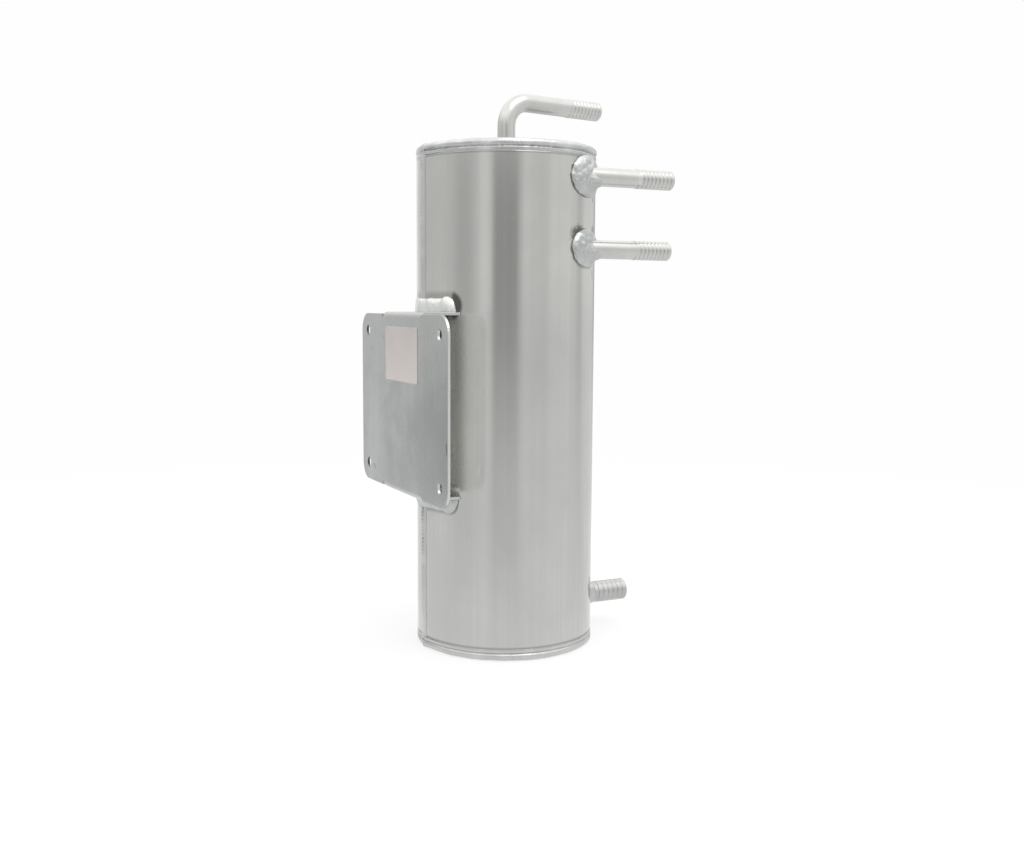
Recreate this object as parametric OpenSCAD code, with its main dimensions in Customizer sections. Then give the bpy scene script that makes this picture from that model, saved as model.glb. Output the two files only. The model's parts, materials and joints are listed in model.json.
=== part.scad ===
// Expansion vessel: a welded sheet aluminium header tank with four hose pipes
// and a folded bracket. Sizes are in millimetres.
// The vessel stands on z = 0 with its axis on Z. The side pipes leave towards +X,
// and the bracket stands off the shell on the -X side.

/* [Vessel body] */
// Outside diameter of the rolled shell
body_d = 100; // [80:1:130]
// Height of the body over both rim welds
body_h = 278; // [230:1:360]
// Thickness of the shell sheet
wall = 2; // [1.5:0.1:3]
// Thickness of each end plate
end_t = 4; // [3:0.5:5]

/* [Rim welds] */
// Height of the band that a rim weld covers on the shell
rim_h = 7; // [6:0.5:10]
// Corner radius of a rim weld
rim_r = 3; // [2:0.5:5]
// Width of the flat that a rim weld adds inside its corner
rim_flat = 2.5; // [1:0.5:4]
// Depth of the bevel on the shell's edge under a rim weld
bevel_depth = 1.2; // [0.8:0.1:1.4]

/* [Shell seam] */
// Direction of the seam, in degrees round the axis from +X
seam_angle = 181; // [170:1:190]
// Width of the seam's weld bead
seam_w = 7.5; // [5:0.5:10]
// Height of the seam's weld bead over the shell
seam_proud = 1; // [0.5:0.1:1.5]
// Gap between the two edges of the rolled sheet
seam_gap = 1.6; // [1:0.1:3]

/* [Small hose pipes] */
// Outside diameter of the vent pipe and the two side pipes
pipe_d = 10; // [7:0.5:12]
// Wall of the vent pipe and the two side pipes
pipe_wall = 1; // [0.8:0.1:1.5]
// Depth of the side pipes' axes inside the shell's outer face
side_inset = 9.2; // [8:0.1:12]
// Reach of the upper side pipe beyond the shell's outer face
upper_reach = 32.2; // [29:0.1:60]
// Reach of the lower side pipe beyond the shell's outer face
lower_reach = 30.9; // [29:0.1:60]
// Length of the side pipes inside the vessel, past where their axis meets the shell
side_inner = 16.5; // [14:0.5:20]
// Drop of the upper side pipe's axis below the top of the body
upper_drop = 17.1; // [16:0.1:30]
// Distance between the axes of the two side pipes
side_pitch = 38.9; // [30:0.1:60]

/* [Vent pipe] */
// Height of the vent pipe's level run over the top of the body
vent_rise = 26.7; // [22:0.1:45]
// Bend radius of the vent pipe's centre line
vent_bend = 14; // [11:0.5:16]
// Reach of the vent pipe from the vessel's axis
vent_reach = 65; // [46:1:80]
// Turn of the vent pipe away from +X, in degrees
vent_turn = 10; // [0:1:90]
// Length of the vent pipe that stands out under the top plate
vent_inner = 3; // [1:0.5:10]

/* [Outlet pipe] */
// Outside diameter of the outlet pipe
outlet_d = 12; // [9:0.5:14]
// Wall of the outlet pipe
outlet_wall = 1; // [0.8:0.1:1.5]
// Height of the outlet pipe's axis over the base
outlet_z = 20; // [20:0.5:40]
// Reach of the outlet pipe beyond the shell's outer face
outlet_reach = 29.4; // [29:0.1:60]
// Length of the outlet pipe that stands out inside the shell
outlet_inner = 3; // [1:0.5:10]

/* [Hose ribs] */
// Distance between the grooves of the small pipes
rib_pitch = 2.5; // [2:0.1:4]
// Number of grooves on each small pipe
rib_count = 8; // [3:1:8]
// Distance between the grooves of the outlet pipe
outlet_rib_pitch = 3.2; // [2:0.1:4]
// Number of grooves on the outlet pipe
outlet_rib_count = 5; // [3:1:5]
// Rise of the ribs over the plain pipe
rib_rise = 0.25; // [0.2:0.05:0.5]
// Width of a groove at the ribs' crests
groove_w = 0.9; // [0.6:0.1:1.4]
// Depth of a groove below the ribs' crests
groove_depth = 0.25; // [0.2:0.05:0.6]
// Chamfer round the free end of each pipe
tip_chamfer = 0.5; // [0.2:0.1:0.6]

/* [Pipe welds] */
// Width of a side pipe's weld on the shell, from the pipe's side to the weld's toe
weld_foot = 5; // [3:0.5:8]
// Length of a side pipe's weld along the pipe
weld_climb = 6; // [5:0.5:8]
// Thickness of a side pipe's weld on the pipe's outermost side
weld_cover = 1.8; // [1:0.1:3]
// Width of the outlet pipe's weld on the shell
outlet_weld_foot = 5; // [3:0.5:8]
// Length of the outlet pipe's weld along the pipe
outlet_weld_climb = 8.5; // [5:0.5:9]
// Size of the vent pipe's weld, both ways
vent_weld = 5; // [3:0.5:6]
// How hollow the weld faces are, from 0 for straight to 1 for a full quarter round
weld_hollow = 0.5; // [0.2:0.1:0.7]

/* [Bracket] */
// Width of the bracket's plate
plate_w = 134; // [120:1:160]
// Height of the bracket's plate
plate_h = 98; // [90:1:130]
// Corner radius of the plate
plate_corner = 10; // [4:1:10]
// Thickness of the bracket's sheet
sheet_t = 1.5; // [1.2:0.1:2.5]
// Distance from the shell to the plate's outer face
plate_gap = 12.7; // [11:0.1:20]
// Height of the plate's centre over the base
plate_z = 137.6; // [110:0.2:140]
// Diameter of the plate's bolt holes
hole_d = 6; // [4:0.5:8]
// Distance between the bolt holes across the plate
hole_dy = 112; // [90:1:112]
// Distance between the bolt holes up the plate
hole_dz = 78; // [60:1:82]
// Width of the two tabs that reach back to the shell
tab_w = 60; // [50:1:70]
// Step of each tab's outer face beyond the plate's edge
tab_step = 1; // [0:0.1:2]
// Inner radius of the tabs' bends
bend_r = 1.5; // [1:0.1:2.5]
// Width of the relief slots beside the tabs
relief_w = 1; // [0.6:0.1:2]

/* [Bracket welds] */
// Height of a tab's weld up the shell
tab_weld_h = 7; // [4:0.5:9]
// Width of a tab's weld out along the tab
tab_weld_w = 3.5; // [3:0.5:7]
// Distance round the shell from a tab's side to the end of its weld
tab_weld_inset = 3.5; // [1:0.5:8]

/* [Label] */
// Width of the blank label
label_w = 50; // [30:1:60]
// Height of the blank label
label_h = 30; // [20:1:40]
// Thickness of the blank label
label_t = 0.2; // [0.1:0.05:0.4]
// Distance from the plate's top edge to the label
label_drop = 7; // [5:0.5:20]

/* [Fits] */
// Radial clearance of a pipe in its hole
pipe_fit = 0.1; // [0.05:0.05:0.3]
// Clearance between the tabs and the shell or its seam
saddle_fit = 0.2; // [0.1:0.05:0.5]

/* [Hidden] */

body_r = body_d / 2;
pipe_r = pipe_d / 2;
outlet_r = outlet_d / 2;
past = 1;                       // how far a cutting shape runs past what it cuts
round_fn = 240;
arc_steps = 8;
slice_t = 0.2;                  // thickness of the discs that a side pipe's weld is drawn over
slice_fn = 32;

// side pipes
side_y = body_r - side_inset;
side_x = sqrt(body_r * body_r - side_y * side_y);
side_start = side_x - side_inner;
upper_z = body_h - upper_drop;
lower_z = upper_z - side_pitch;

// bracket
plate_x = -(body_r + plate_gap);
tab_outer = plate_h / 2 + tab_step;
bend_outer = bend_r + sheet_t;
bend_start = tab_outer - bend_outer;
tab_half_angle = asin(tab_w / 2 / body_r);
weld_half_angle = tab_half_angle - tab_weld_inset / body_r * 180 / PI;

// points on an arc round [x, y] from angle a to angle b
function arc_points(x, y, r, a, b) =
    [for (i = [0:arc_steps])
        let (t = a + (b - a) * i / arc_steps)
        [x + r * cos(t), y + r * sin(t)]];

// the free face of a fillet weld, from its toe at [r + foot, 0] to its toe at [r, climb]
function weld_face(r, foot, climb) =
    [for (i = [0:arc_steps])
        let (
            t = i / arc_steps,
            out = (1 - t) * (1 - weld_hollow) + (1 - sin(90 * t)) * weld_hollow,
            up = t * (1 - weld_hollow) + (1 - cos(90 * t)) * weld_hollow
        )
        [r + foot * out, climb * up]];

// crests and grooves of a ribbed pipe end; the last groove is one pitch short of the end
function ribbed_edge(crest, length, pitch, count) =
    [for (i = [count:-1:1], j = [-1:1])
        [crest - (j == 0 ? groove_depth : 0), length - i * pitch + j * groove_w / 2]];

module hose_pipe(r, thick, length, pitch, count) {
    crest = r + rib_rise;
    ribs_start = length - (count + 1) * pitch;
    rotate_extrude($fn = round_fn)
        polygon(concat(
            [[r - thick, 0], [r, 0], [r, ribs_start - rib_rise], [crest, ribs_start]],
            ribbed_edge(crest, length, pitch, count),
            [[crest, length - tip_chamfer], [crest - tip_chamfer, length], [r - thick, length]]));
}

module along_x(x, y, z) {
    translate([x, y, z]) rotate([0, 90, 0]) children();
}

// bar along the shell's seam with the bead's crown; grow widens and raises it to cut clearance
module seam_bead(low, high, grow) {
    half_w = seam_w / 2 + grow;
    proud = seam_proud + grow;
    half_turn = half_w / body_r * 180 / PI;
    translate([0, 0, low])
        rotate([0, 0, seam_angle])
            linear_extrude(high - low)
                polygon(concat(
                    [[body_r - wall, half_w], [body_r - wall, -half_w]],
                    [for (i = [-arc_steps:arc_steps])
                        let (t = i / arc_steps, crown = body_r + proud * (1 - t * t))
                        [crown * cos(t * half_turn), body_r * sin(t * half_turn)]]));
}

module seam_slot() {
    rotate([0, 0, seam_angle])
        translate([body_r - wall - past, -seam_gap / 2, rim_h])
            cube([wall + 2 * past, seam_gap, body_h - 2 * rim_h]);
}

module side_pipe_hole(z) {
    along_x(side_start, -side_y, z)
        cylinder(r = pipe_r + pipe_fit, h = body_r, $fn = round_fn);
}

module outlet_hole() {
    along_x(body_r - wall - outlet_inner, 0, outlet_z)
        cylinder(r = outlet_r + pipe_fit, h = outlet_reach, $fn = round_fn);
}

module shell() {
    color("gainsboro")
    difference() {
        rotate_extrude($fn = round_fn)
            polygon([
                [body_r - wall, end_t], [body_r - bevel_depth, end_t], [body_r, rim_h],
                [body_r, body_h - rim_h], [body_r - bevel_depth, body_h - end_t],
                [body_r - wall, body_h - end_t]]);
        seam_slot();
        side_pipe_hole(upper_z);
        side_pipe_hole(lower_z);
        outlet_hole();
    }
}

module shell_seam_weld() {
    color("silver")
    difference() {
        seam_bead(rim_h, body_h - rim_h, 0);
        difference() {
            cylinder(r = body_r, h = body_h, $fn = round_fn);
            seam_slot();
        }
    }
}

// end plate with its outer face on z = 0
module end_plate() {
    rotate_extrude($fn = round_fn)
        polygon([[0, 0], [body_r - rim_r - rim_flat, 0], [body_r - bevel_depth, end_t], [0, end_t]]);
}

// rim weld of the end whose outer face is on z = 0
module rim_weld() {
    rotate_extrude($fn = round_fn)
        polygon(concat(
            [[body_r - bevel_depth, end_t], [body_r - rim_r - rim_flat, 0]],
            arc_points(body_r - rim_r, rim_r, rim_r, -90, 0),
            [[body_r, rim_h]]));
}

module at_top() {
    translate([0, 0, body_h]) mirror([0, 0, 1]) children();
}

module top_end_plate() {
    color("gainsboro")
    difference() {
        at_top() end_plate();
        translate([0, 0, body_h - end_t - past])
            cylinder(r = pipe_r + pipe_fit, h = end_t + 2 * past, $fn = round_fn);
    }
}

module bottom_end_plate() {
    color("gainsboro") end_plate();
}

module top_rim_weld() {
    color("silver") at_top() rim_weld();
}

module bottom_rim_weld() {
    color("silver") rim_weld();
}

module vent_pipe() {
    riser = end_t + vent_inner + vent_rise - vent_bend;
    color("lightgray")
    rotate([0, 0, vent_turn])
    translate([0, 0, body_h - end_t - vent_inner])
    union() {
        difference() {
            cylinder(r = pipe_r, h = riser, $fn = round_fn);
            translate([0, 0, -past])
                cylinder(r = pipe_r - pipe_wall, h = riser + 2 * past, $fn = round_fn);
        }
        translate([vent_bend, 0, riser])
            rotate([90, 0, 0])
                rotate([0, 0, 90])
                    rotate_extrude(angle = 90, $fn = round_fn)
                        translate([vent_bend, 0])
                            difference() {
                                circle(r = pipe_r, $fn = round_fn);
                                circle(r = pipe_r - pipe_wall, $fn = round_fn);
                            }
        along_x(vent_bend, 0, riser + vent_bend)
            hose_pipe(pipe_r, pipe_wall, vent_reach - vent_bend, rib_pitch, rib_count);
    }
}

module vent_pipe_weld() {
    color("silver")
    translate([0, 0, body_h])
        rotate_extrude($fn = round_fn)
            polygon(concat([[pipe_r, 0]], weld_face(pipe_r, vent_weld, vent_weld)));
}

module side_pipe(z, reach) {
    along_x(side_start, -side_y, z)
        hose_pipe(pipe_r, pipe_wall, body_r + reach - side_start, rib_pitch, rib_count);
}

module upper_side_pipe() {
    color("lightgray") side_pipe(upper_z, upper_reach);
}

module lower_side_pipe() {
    color("lightgray") side_pipe(lower_z, lower_reach);
}

// thin oval disc across a side pipe's axis, tall the way that the vessel stands
module weld_slice(x, half_y, half_z) {
    translate([x, -side_y, 0])
        rotate([0, 90, 0])
            scale([half_z, half_y, 1])
                cylinder(r = 1, h = slice_t, $fn = slice_fn);
}

module side_pipe_weld(z) {
    foot_x = sqrt(body_r * body_r - pow(side_y + pipe_r + weld_cover, 2));
    rise_x = sqrt(body_r * body_r - pow(side_y - pipe_r, 2));
    translate([0, 0, z])
    difference() {
        hull() {
            weld_slice(foot_x, pipe_r + weld_cover, pipe_r + weld_foot + weld_cover);
            weld_slice(side_x, pipe_r + weld_cover, pipe_r + weld_foot);
            weld_slice(rise_x, pipe_r + weld_cover / 2, pipe_r + weld_foot / 2);
            weld_slice(rise_x + weld_climb, pipe_r + slice_t, pipe_r + slice_t);
        }
        translate([0, 0, -body_h / 2])
            cylinder(r = body_r, h = body_h, $fn = round_fn);
        along_x(0, -side_y, 0)
            cylinder(r = pipe_r, h = body_d, $fn = round_fn);
    }
}

module upper_side_pipe_weld() {
    color("silver") side_pipe_weld(upper_z);
}

module lower_side_pipe_weld() {
    color("silver") side_pipe_weld(lower_z);
}

module outlet_pipe() {
    start = body_r - wall - outlet_inner;
    color("lightgray")
    along_x(start, 0, outlet_z)
        hose_pipe(outlet_r, outlet_wall, body_r + outlet_reach - start, outlet_rib_pitch, outlet_rib_count);
}

module outlet_pipe_weld() {
    sink = wall;
    color("silver")
    difference() {
        along_x(body_r, 0, outlet_z)
            rotate_extrude($fn = round_fn)
                polygon(concat(
                    [[outlet_r, -sink], [outlet_r + outlet_weld_foot + sink, -sink]],
                    weld_face(outlet_r, outlet_weld_foot, outlet_weld_climb)));
        cylinder(r = body_r, h = body_h, $fn = round_fn);
    }
}

// plate outline in the YZ plane, with a slot each side of both tabs
module plate_outline() {
    dy = plate_w / 2 - plate_corner;
    dz = plate_h / 2 - plate_corner;
    slot_h = plate_h / 2 - bend_start;
    difference() {
        polygon(concat(
            arc_points(dy, dz, plate_corner, 0, 90),
            arc_points(-dy, dz, plate_corner, 90, 180),
            arc_points(-dy, -dz, plate_corner, 180, 270),
            arc_points(dy, -dz, plate_corner, 270, 360)));
        for (side = [-1, 1])
            translate([-tab_w / 2 - relief_w, side > 0 ? bend_start : -bend_start - slot_h - past])
                square([tab_w + 2 * relief_w, slot_h + past]);
    }
}

// bend and tab in the XZ plane, with z = 0 at the plate's centre
module tab_profile() {
    tab_end = plate_x + plate_gap + body_r - body_r * cos(tab_half_angle);
    polygon(concat(
        [[tab_end, tab_outer - sheet_t], [tab_end, tab_outer]],
        arc_points(plate_x + bend_outer, bend_start, bend_outer, 90, 180),
        arc_points(plate_x + bend_outer, bend_start, bend_r, 180, 90)));
}

module mounting_bracket() {
    color("lightsteelblue")
    difference() {
        translate([0, 0, plate_z])
            union() {
                translate([plate_x, 0, 0])
                    rotate([90, 0, 90])
                        linear_extrude(sheet_t) plate_outline();
                for (side = [0, 1])
                    mirror([0, 0, side])
                        translate([0, tab_w / 2, 0])
                            rotate([90, 0, 0])
                                linear_extrude(tab_w) tab_profile();
            }
        cylinder(r = body_r + saddle_fit, h = body_h, $fn = round_fn);
        seam_bead(0, body_h, saddle_fit);
        for (y = [-1, 1], z = [-1, 1])
            along_x(plate_x - past, y * hole_dy / 2, plate_z + z * hole_dz / 2)
                cylinder(d = hole_d, h = sheet_t + 2 * past, $fn = round_fn);
    }
}

// fillet weld between a tab's outer face, on z = 0, and the shell above it
module tab_weld() {
    rotate([0, 0, 180 - weld_half_angle])
        rotate_extrude(angle = 2 * weld_half_angle, $fn = round_fn)
            polygon(concat([[body_r, 0]], weld_face(body_r, tab_weld_w, tab_weld_h)));
}

module bracket_top_weld() {
    color("silver")
    difference() {
        translate([0, 0, plate_z + tab_outer]) tab_weld();
        seam_bead(rim_h, body_h - rim_h, 0);
    }
}

module bracket_bottom_weld() {
    color("silver")
    difference() {
        translate([0, 0, plate_z - tab_outer]) mirror([0, 0, 1]) tab_weld();
        seam_bead(rim_h, body_h - rim_h, 0);
    }
}

module blank_label() {
    color("linen")
    translate([plate_x - label_t, -label_w / 2, plate_z + plate_h / 2 - label_drop - label_h])
        cube([label_t, label_w, label_h]);
}

shell();
shell_seam_weld();
top_end_plate();
bottom_end_plate();
top_rim_weld();
bottom_rim_weld();
vent_pipe();
vent_pipe_weld();
upper_side_pipe();
upper_side_pipe_weld();
lower_side_pipe();
lower_side_pipe_weld();
outlet_pipe();
outlet_pipe_weld();
mounting_bracket();
bracket_top_weld();
bracket_bottom_weld();
blank_label();
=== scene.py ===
import json
import math

import bmesh
import bpy
from mathutils import Matrix, Vector, noise

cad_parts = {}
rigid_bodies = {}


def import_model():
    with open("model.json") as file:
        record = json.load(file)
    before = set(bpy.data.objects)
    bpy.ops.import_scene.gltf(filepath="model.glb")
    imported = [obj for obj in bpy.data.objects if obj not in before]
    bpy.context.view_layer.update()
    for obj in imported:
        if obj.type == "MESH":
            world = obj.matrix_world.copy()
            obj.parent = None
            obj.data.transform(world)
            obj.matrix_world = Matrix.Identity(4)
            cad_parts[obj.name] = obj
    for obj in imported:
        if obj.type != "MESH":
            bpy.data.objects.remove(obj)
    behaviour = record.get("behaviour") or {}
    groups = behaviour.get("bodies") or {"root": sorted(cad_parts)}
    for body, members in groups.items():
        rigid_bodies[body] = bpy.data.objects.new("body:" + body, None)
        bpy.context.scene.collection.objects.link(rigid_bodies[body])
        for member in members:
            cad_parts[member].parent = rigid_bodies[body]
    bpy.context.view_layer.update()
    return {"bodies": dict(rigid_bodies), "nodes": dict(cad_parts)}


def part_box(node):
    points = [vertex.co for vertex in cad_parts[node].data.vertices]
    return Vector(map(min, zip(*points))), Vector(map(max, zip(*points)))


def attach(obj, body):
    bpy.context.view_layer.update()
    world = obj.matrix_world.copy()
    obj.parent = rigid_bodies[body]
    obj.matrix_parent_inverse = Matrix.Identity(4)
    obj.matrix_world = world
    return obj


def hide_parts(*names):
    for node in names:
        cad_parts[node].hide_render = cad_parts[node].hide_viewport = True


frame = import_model()
scene = bpy.context.scene
nodes = frame["nodes"]
body = next(iter(frame["bodies"]))
mm = 0.001


def middle(node):
    low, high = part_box(node)
    return (low + high) / 2


def polar(angle, radius, z):
    return Vector((radius * math.cos(angle), radius * math.sin(angle), z))


def clamp01(value):
    return max(0.0, min(1.0, value))


# sizes that several pieces share, read from the frame in metres
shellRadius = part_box("shell")[1].y
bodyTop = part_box("top_rim_weld")[1].z
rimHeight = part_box("bottom_rim_weld")[1].z
seamLow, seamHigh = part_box("shell_seam_weld")
seamAngle = math.pi - math.asin(middle("shell_seam_weld").y / shellRadius)
plateLow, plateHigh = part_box("mounting_bracket")
plateMiddle = (plateLow + plateHigh) / 2


# making and naming pieces
def newPiece(name, bm, replaced, smooth=True):
    bmesh.ops.remove_doubles(bm, verts=bm.verts, dist=0.002 * mm)
    bmesh.ops.recalc_face_normals(bm, faces=bm.faces)
    mesh = bpy.data.meshes.new(name)
    bm.to_mesh(mesh)
    bm.free()
    for face in mesh.polygons:
        face.use_smooth = smooth
    piece = bpy.data.objects.new(name, mesh)
    scene.collection.objects.link(piece)
    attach(piece, body)
    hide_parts(replaced)
    return piece


def draftObject(bm):
    mesh = bpy.data.meshes.new("draft")
    bm.to_mesh(mesh)
    bm.free()
    draft = bpy.data.objects.new("draft", mesh)
    scene.collection.objects.link(draft)
    return draft


def shapedBy(draft, kind, **settings):
    # what one modifier makes of a draft, which is used up
    modifier = draft.modifiers.new("shaper", kind)
    for key, value in settings.items():
        setattr(modifier, key, value)
    made = bmesh.new()
    made.from_object(draft, bpy.context.evaluated_depsgraph_get())
    mesh = draft.data
    bpy.data.objects.remove(draft)
    bpy.data.meshes.remove(mesh)
    return made


def lumps(point, size, seed):
    return noise.noise(point / size + Vector((seed, 2.3 * seed, -1.7 * seed)))


def scallop(phase):
    # one weld ripple: a long rounded back and a short steep front
    t = phase - math.floor(phase)
    return math.sin(math.pi * t ** 0.6)


def markToe(piece, howDark):
    # painted shade: a soft dark line where the bead meets the sheet, kept on the mesh for its material
    toe = piece.data.attributes.new("toe", "FLOAT", "POINT")
    for vertex in piece.data.vertices:
        toe.data[vertex.index].value = clamp01(howDark(vertex.co))


def darkNearShell(point):
    return 1 - (math.hypot(point.x, point.y) - shellRadius - 0.05 * mm) / (0.45 * mm)


# rim welds: the end plate's edge, a crease, and the bead that rolls over onto the plate
rimWeld = {
    "steps": 1080,
    "lumpSize": 8 * mm,
    "lumpHeight": 0.2 * mm,
    "rippleStart": 2.6 * mm,       # from the toe on the shell
    "rippleEnd": 44.2 * mm,        # radius on the end plate
    "knotHeight": 0.9 * mm,        # where the seam's bead runs in
    "knotWidth": math.radians(8),
    # jointDark, creaseAt and creaseDark place painted shade at the joint with the shell and in the crease
    "jointDark": 0.75 * mm,
    "plateToe": 44.9 * mm,         # radius at which the bead ends on the end plate
    "creaseAt": (2.95 * mm, 2.65 * mm),    # bottom, top
    "creaseDark": (0.4, 1.15),
}
# each point: how far inside the shell's radius, how far from the toe on the shell
rimOutline = [
    (1.1, 0.4), (0.45, 0.15), (0.15, 0.45), (0.0, 0.75), (-0.06, 1.2), (-0.06, 1.8), (0.02, 2.35),
    (0.45, 2.7), (0.5, 3.0), (0.06, 3.3), (-0.24, 3.75), (-0.32, 4.3), (-0.26, 5.0), (-0.06, 5.6),
    (0.3, 6.15), (0.85, 6.6), (1.6, 6.88), (2.8, 7.0), (4.2, 7.0), (5.2, 6.88), (5.9, 6.4), (5.2, 5.0),
    (3.0, 2.9), (1.6, 1.2),
]


def rimBead(name, node, flip, ripplePitch, rippleHeight):
    bm = bmesh.new()
    ring = [bm.verts.new((shellRadius - inset * mm, 0, rimHeight - drop * mm)) for inset, drop in rimOutline]
    loop = [bm.edges.new((a, b)) for a, b in zip(ring, ring[1:] + ring[:1])]
    bmesh.ops.spin(bm, geom=ring + loop, cent=(0, 0, 0), axis=(0, 0, 1), angle=math.tau,
                   steps=rimWeld["steps"], use_merge=True)
    bmesh.ops.remove_doubles(bm, verts=bm.verts, dist=0.01 * mm)
    bmesh.ops.recalc_face_normals(bm, faces=bm.faces)
    bm.normal_update()
    outward = {v: v.normal.copy() for v in bm.verts}
    for v in bm.verts:
        angle = math.atan2(v.co.y, v.co.x)
        radius = math.hypot(v.co.x, v.co.y)
        drop = rimHeight - v.co.z
        onBead = clamp01((drop - rimWeld["rippleStart"]) / (1.5 * mm))
        onBead *= clamp01((radius - rimWeld["rippleEnd"]) / (2 * mm))
        across = (drop + shellRadius - radius) / rimHeight
        run = angle * shellRadius / ripplePitch + 1.1 * across * across + 0.4 * lumps(v.co, 12 * mm, 4)
        strength = 0.55 + 0.9 * lumps(v.co, 17 * mm, 9)
        push = rippleHeight * strength * onBead * (scallop(run) - 0.6)
        lump = lumps(v.co, rimWeld["lumpSize"], 1 + 3 * flip)
        push += rimWeld["lumpHeight"] * (0.35 + onBead) * lump
        push += 0.3 * rimWeld["lumpHeight"] * onBead * lumps(v.co, 2.2 * mm, 6)
        fromSeam = abs((angle - seamAngle + math.pi) % math.tau - math.pi) / rimWeld["knotWidth"]
        if fromSeam < 1:
            knot = (1 - fromSeam ** 2) ** 2
            swirl = 0.45 + 0.75 * lumps(v.co, 1.9 * mm, 7)
            push += rimWeld["knotHeight"] * knot * swirl * clamp01(drop / (1.2 * mm))
        v.co += outward[v] * push
        v.co.z = max(v.co.z, 0)
    if flip:
        bmesh.ops.transform(bm, verts=bm.verts, space=Matrix(),
                            matrix=Matrix.Translation((0, 0, bodyTop)) @ Matrix.Diagonal((1, 1, -1, 1)))

    # painted shade: a dark line where the bead ends on the end plate, at the joint with the shell and in the
    # crease
    def howDark(point):
        drop = point.z - bodyTop + rimHeight if flip else rimHeight - point.z
        radius = math.hypot(point.x, point.y)
        if radius < shellRadius - 2 * mm:
            return 0.8 - abs(radius - rimWeld["plateToe"]) / (0.5 * mm)
        joint = 1 - (drop - 0.2 * mm) / rimWeld["jointDark"]
        crease = 1.0 - abs(drop - rimWeld["creaseAt"][flip]) / ((0.85 + 0.35 * flip) * mm)
        crease *= rimWeld["creaseDark"][flip] * (0.8 + 0.9 * lumps(point, 24 * mm, 13))
        return max(joint, crease)

    piece = newPiece(name, bm, node)
    markToe(piece, howDark)
    return piece


# the upright bead that closes the rolled shell
seamWeld = {
    "rise": 0.95 * mm,
    "sink": 0.35 * mm,             # its edges dip into the sheet
    "pitch": 2.1 * mm,
    "rippleHeight": 0.15 * mm,
    "lumpHeight": 0.34 * mm,
    "wander": 0.35 * mm,
    "cuts": 900,
    "steps": 16,
}


def seamBead():
    bm = bmesh.new()
    half = (seamHigh.y - seamLow.y) / 2
    low, high = seamLow.z - 0.6 * mm, seamHigh.z + 0.6 * mm
    section = []
    for i in range(seamWeld["steps"] + 1):
        t = -1 + 2 * i / seamWeld["steps"]
        crown = seamWeld["rise"] * (1 - abs(t) ** 2.6) - seamWeld["sink"] * abs(t) ** 8
        section.append((shellRadius + crown, t * half))
    section += [(shellRadius - 0.9 * mm, half * 0.9), (shellRadius - 0.9 * mm, -half * 0.9)]
    cap = bm.faces.new([bm.verts.new((x, y, low)) for x, y in section])
    grown = bmesh.ops.extrude_face_region(bm, geom=[cap])
    bmesh.ops.translate(bm, verts=[g for g in grown["geom"] if isinstance(g, bmesh.types.BMVert)],
                        vec=(0, 0, high - low))
    upright = [e for e in bm.edges if abs(e.verts[0].co.z - e.verts[1].co.z) > 0.5 * (high - low)]
    bmesh.ops.subdivide_edges(bm, edges=upright, cuts=seamWeld["cuts"], use_grid_fill=True)
    for v in bm.verts:
        t = v.co.y / half
        if v.co.x > shellRadius - 0.5 * mm:
            crest = max(0.0, 1 - t * t)
            alongOnly = Vector((0, 0, v.co.z))
            run = v.co.z / seamWeld["pitch"] + 0.9 * t * t + 0.3 * lumps(alongOnly, 14 * mm, 2)
            patch = clamp01(0.25 + 2.2 * lumps(alongOnly, 22 * mm, 8))
            v.co.x += seamWeld["rippleHeight"] * patch * crest * (scallop(run) - 0.6)
            v.co.x += seamWeld["lumpHeight"] * crest * lumps(v.co, 6 * mm, 3)
            v.co.y += seamWeld["wander"] * abs(t) * lumps(v.co, 9 * mm, 5)
        v.co.x -= shellRadius * (1 - math.cos(v.co.y / shellRadius))
    bmesh.ops.rotate(bm, verts=bm.verts, cent=(0, 0, 0), matrix=Matrix.Rotation(seamAngle, 3, "Z"))
    piece = newPiece("shellSeamBead", bm, "shell_seam_weld")
    markToe(piece, lambda point: 0.35 * darkNearShell(point))
    return piece


# beads melted together from rounded blobs: round the pipes and along the bracket's tabs
def blob(bm, place, fine=40):
    # a ball whose points, from -1 to 1 each way, are put in place by a function
    made = bmesh.ops.create_uvsphere(bm, u_segments=fine, v_segments=fine // 2, radius=1)
    for v in made["verts"]:
        v.co = place(v.co)


def onShell(angle, z, reach, rise, height, sink):
    # reach is along the shell, rise off it
    def place(p):
        along = p.x * reach
        off = p.y * (rise if p.y > 0 else sink)
        return polar(angle + along / shellRadius, shellRadius + off, z + p.z * height)
    return place


def taper(bm, axis, start, end, startRadius, endRadius):
    # a plain cone from start to end, where axis turns a point along Z onto the pipe
    made = bmesh.ops.create_cone(bm, cap_ends=True, segments=64, radius1=startRadius, radius2=endRadius,
                                 depth=end - start)
    bmesh.ops.translate(bm, verts=made["verts"], vec=(0, 0, (start + end) / 2))
    bmesh.ops.transform(bm, verts=made["verts"], matrix=axis, space=Matrix())


def relax(bm, times):
    for _ in range(times):
        bmesh.ops.smooth_vert(bm, verts=bm.verts, factor=0.5,
                              use_axis_x=True, use_axis_y=True, use_axis_z=True)


def outwardOf(point):
    return Vector((point.x, point.y, 0)).normalized()


def nearNowhere(point):
    return 0.0


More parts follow.
